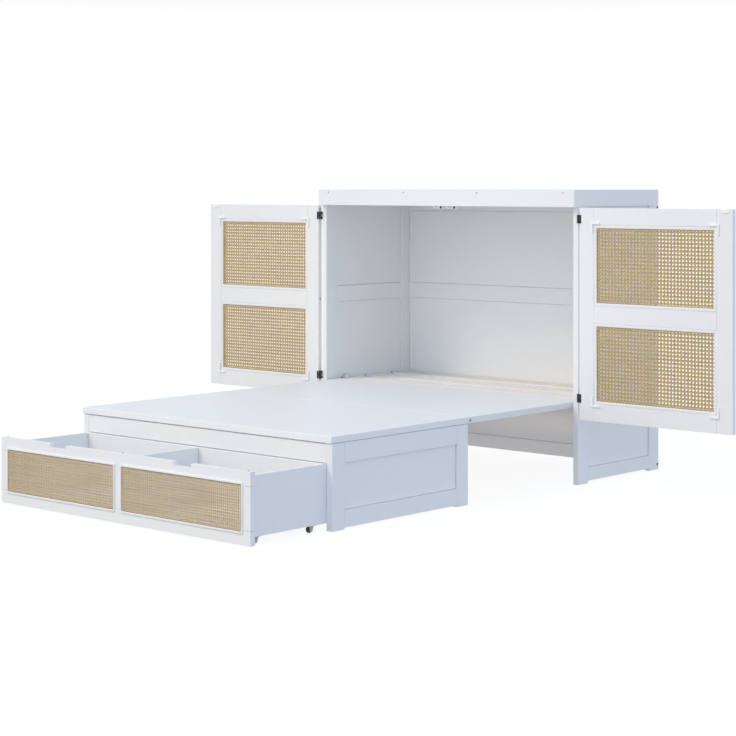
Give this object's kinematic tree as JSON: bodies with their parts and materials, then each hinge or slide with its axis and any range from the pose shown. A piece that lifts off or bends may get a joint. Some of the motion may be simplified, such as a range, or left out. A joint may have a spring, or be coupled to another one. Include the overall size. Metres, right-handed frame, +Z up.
{
  "type": "cabinet storage bed",
  "caption": "Storage bed that folds into a framed cabinet: cane doors on hinges, a folding platform, slats, and a sliding base with a wheeled drawer and cane front.",
  "frame": {"origin": "middle of the overall box on the floor, with the doors and the drawer as stored (open)", "axes": "+X across the bed, to the right seen from its foot; +Y from the foot of the bed towards the wall; +Z up"},
  "size_m": [2.922, 2.4714, 1.22],
  "materials": {
    "painted_board": "satin white paint",
    "pale_wood": "planed",
    "cane": "natural cane",
    "black_metal": "satin black",
    "steel": "brushed",
    "white_plastic": "satin",
    "grey_plastic": "matte"
  },
  "bodies": {
    "cabinet": {"cabinet_top": "painted_board", "cabinet_header_rail": "painted_board", "cabinet_side_frame_left": "painted_board", "cabinet_side_frame_right": "painted_board", "cabinet_side_panel_left": "painted_board", "cabinet_side_panel_right": "painted_board", "cabinet_back_frame": "painted_board", "cabinet_back_panel": "painted_board", "slat_cleat_left": "pale_wood", "slat_cleat_right": "pale_wood", "slat_1": "pale_wood", "slat_2": "pale_wood", "slat_3": "pale_wood", "latch_body_left": "white_plastic", "latch_body_right": "white_plastic", "cabinet_hinge_leaf_lower_left": "black_metal", "cabinet_hinge_leaf_lower_right": "black_metal", "cabinet_hinge_leaf_upper_left": "black_metal", "cabinet_hinge_leaf_upper_right": "black_metal"},
    "latch_left": {"latch_plunger_left": "white_plastic"},
    "latch_right": {"latch_plunger_right": "white_plastic"},
    "platform_middle": {"platform_middle_panel": "painted_board", "platform_pivot_strap_left": "steel", "platform_pivot_strap_right": "steel", "seam_hinge_leaf_rear": "steel"},
    "platform_front": {"platform_front_panel": "painted_board", "seam_hinge_leaf_front": "steel"},
    "base": {"base_side_frame_left": "painted_board", "base_side_frame_right": "painted_board", "base_side_panel_left": "painted_board", "base_side_panel_right": "painted_board", "base_front_rail": "painted_board", "base_rear_board": "painted_board", "base_centre_bearer": "pale_wood"},
    "drawer": {"drawer_front_frame": "painted_board", "drawer_cane_panel_left": "cane", "drawer_cane_panel_right": "cane", "drawer_side_left": "painted_board", "drawer_side_right": "painted_board", "drawer_back": "painted_board", "drawer_bottom": "painted_board", "drawer_divider": "painted_board", "caster_bracket_front_left": "steel", "caster_bracket_front_right": "steel", "caster_bracket_rear_left": "steel", "caster_bracket_rear_right": "steel"},
    "wheel_front_left": {"caster_wheel_front_left": "grey_plastic"},
    "wheel_front_right": {"caster_wheel_front_right": "grey_plastic"},
    "wheel_rear_left": {"caster_wheel_rear_left": "grey_plastic"},
    "wheel_rear_right": {"caster_wheel_rear_right": "grey_plastic"},
    "door_left": {"door_frame_left": "painted_board", "door_cane_left": "cane", "door_strike_plate_left": "white_plastic", "door_hinge_leaf_lower_left": "black_metal", "door_hinge_leaf_upper_left": "black_metal"},
    "door_right": {"door_frame_right": "painted_board", "door_cane_right": "cane", "door_strike_plate_right": "white_plastic", "door_hinge_leaf_lower_right": "black_metal", "door_hinge_leaf_upper_right": "black_metal"}
  },
  "joints": [
    {"name": "door_left_hinge", "type": "hinge", "parent": "cabinet", "child": "door_left", "pos_m": [-0.731, 0.6277, 0.7], "axis": [0, 0, 1], "range_deg": [0, 90]},
    {"name": "door_right_hinge", "type": "hinge", "parent": "cabinet", "child": "door_right", "pos_m": [0.731, 0.6277, 0.7], "axis": [0, 0, -1], "range_deg": [0, 90]},
    {"name": "platform_fold", "type": "hinge", "parent": "cabinet", "child": "platform_middle", "pos_m": [0, 0.7717, 0.341], "axis": [-1, 0, 0], "range_deg": [0, 90]},
    {"name": "front_panel_fold", "type": "hinge", "parent": "platform_middle", "child": "platform_front", "pos_m": [0, -0.0263, 0.3148], "axis": [1, 0, 0], "range_deg": [0, 180]},
    {"name": "base_slide", "type": "slide", "parent": "cabinet", "child": "base", "axis": [0, 1, 0], "range_m": [0, 1.262]},
    {"name": "drawer_slide", "type": "slide", "parent": "base", "child": "drawer", "axis": [0, 1, 0], "range_m": [0, 0.39]},
    {"name": "latch_left_push", "type": "slide", "parent": "cabinet", "child": "latch_left", "axis": [0, 1, 0], "range_m": [0, 0.01], "stiffness_N_per_m": 300},
    {"name": "latch_right_push", "type": "slide", "parent": "cabinet", "child": "latch_right", "axis": [0, 1, 0], "range_m": [0, 0.01], "stiffness_N_per_m": 300},
    {"name": "wheel_front_left_spin", "type": "hinge", "parent": "drawer", "child": "wheel_front_left", "pos_m": [-0.635, -1.1603, 0.0125], "axis": [1, 0, 0], "continuous": true},
    {"name": "wheel_front_right_spin", "type": "hinge", "parent": "drawer", "child": "wheel_front_right", "pos_m": [0.635, -1.1603, 0.0125], "axis": [1, 0, 0], "continuous": true},
    {"name": "wheel_rear_left_spin", "type": "hinge", "parent": "drawer", "child": "wheel_rear_left", "pos_m": [-0.635, -0.8833, 0.0125], "axis": [1, 0, 0], "continuous": true},
    {"name": "wheel_rear_right_spin", "type": "hinge", "parent": "drawer", "child": "wheel_rear_right", "pos_m": [0.635, -0.8833, 0.0125], "axis": [1, 0, 0], "continuous": true}
  ],
  "couplings": [
    {"joint": "front_panel_fold", "follows": "platform_fold", "ratio": 2}
  ]
}
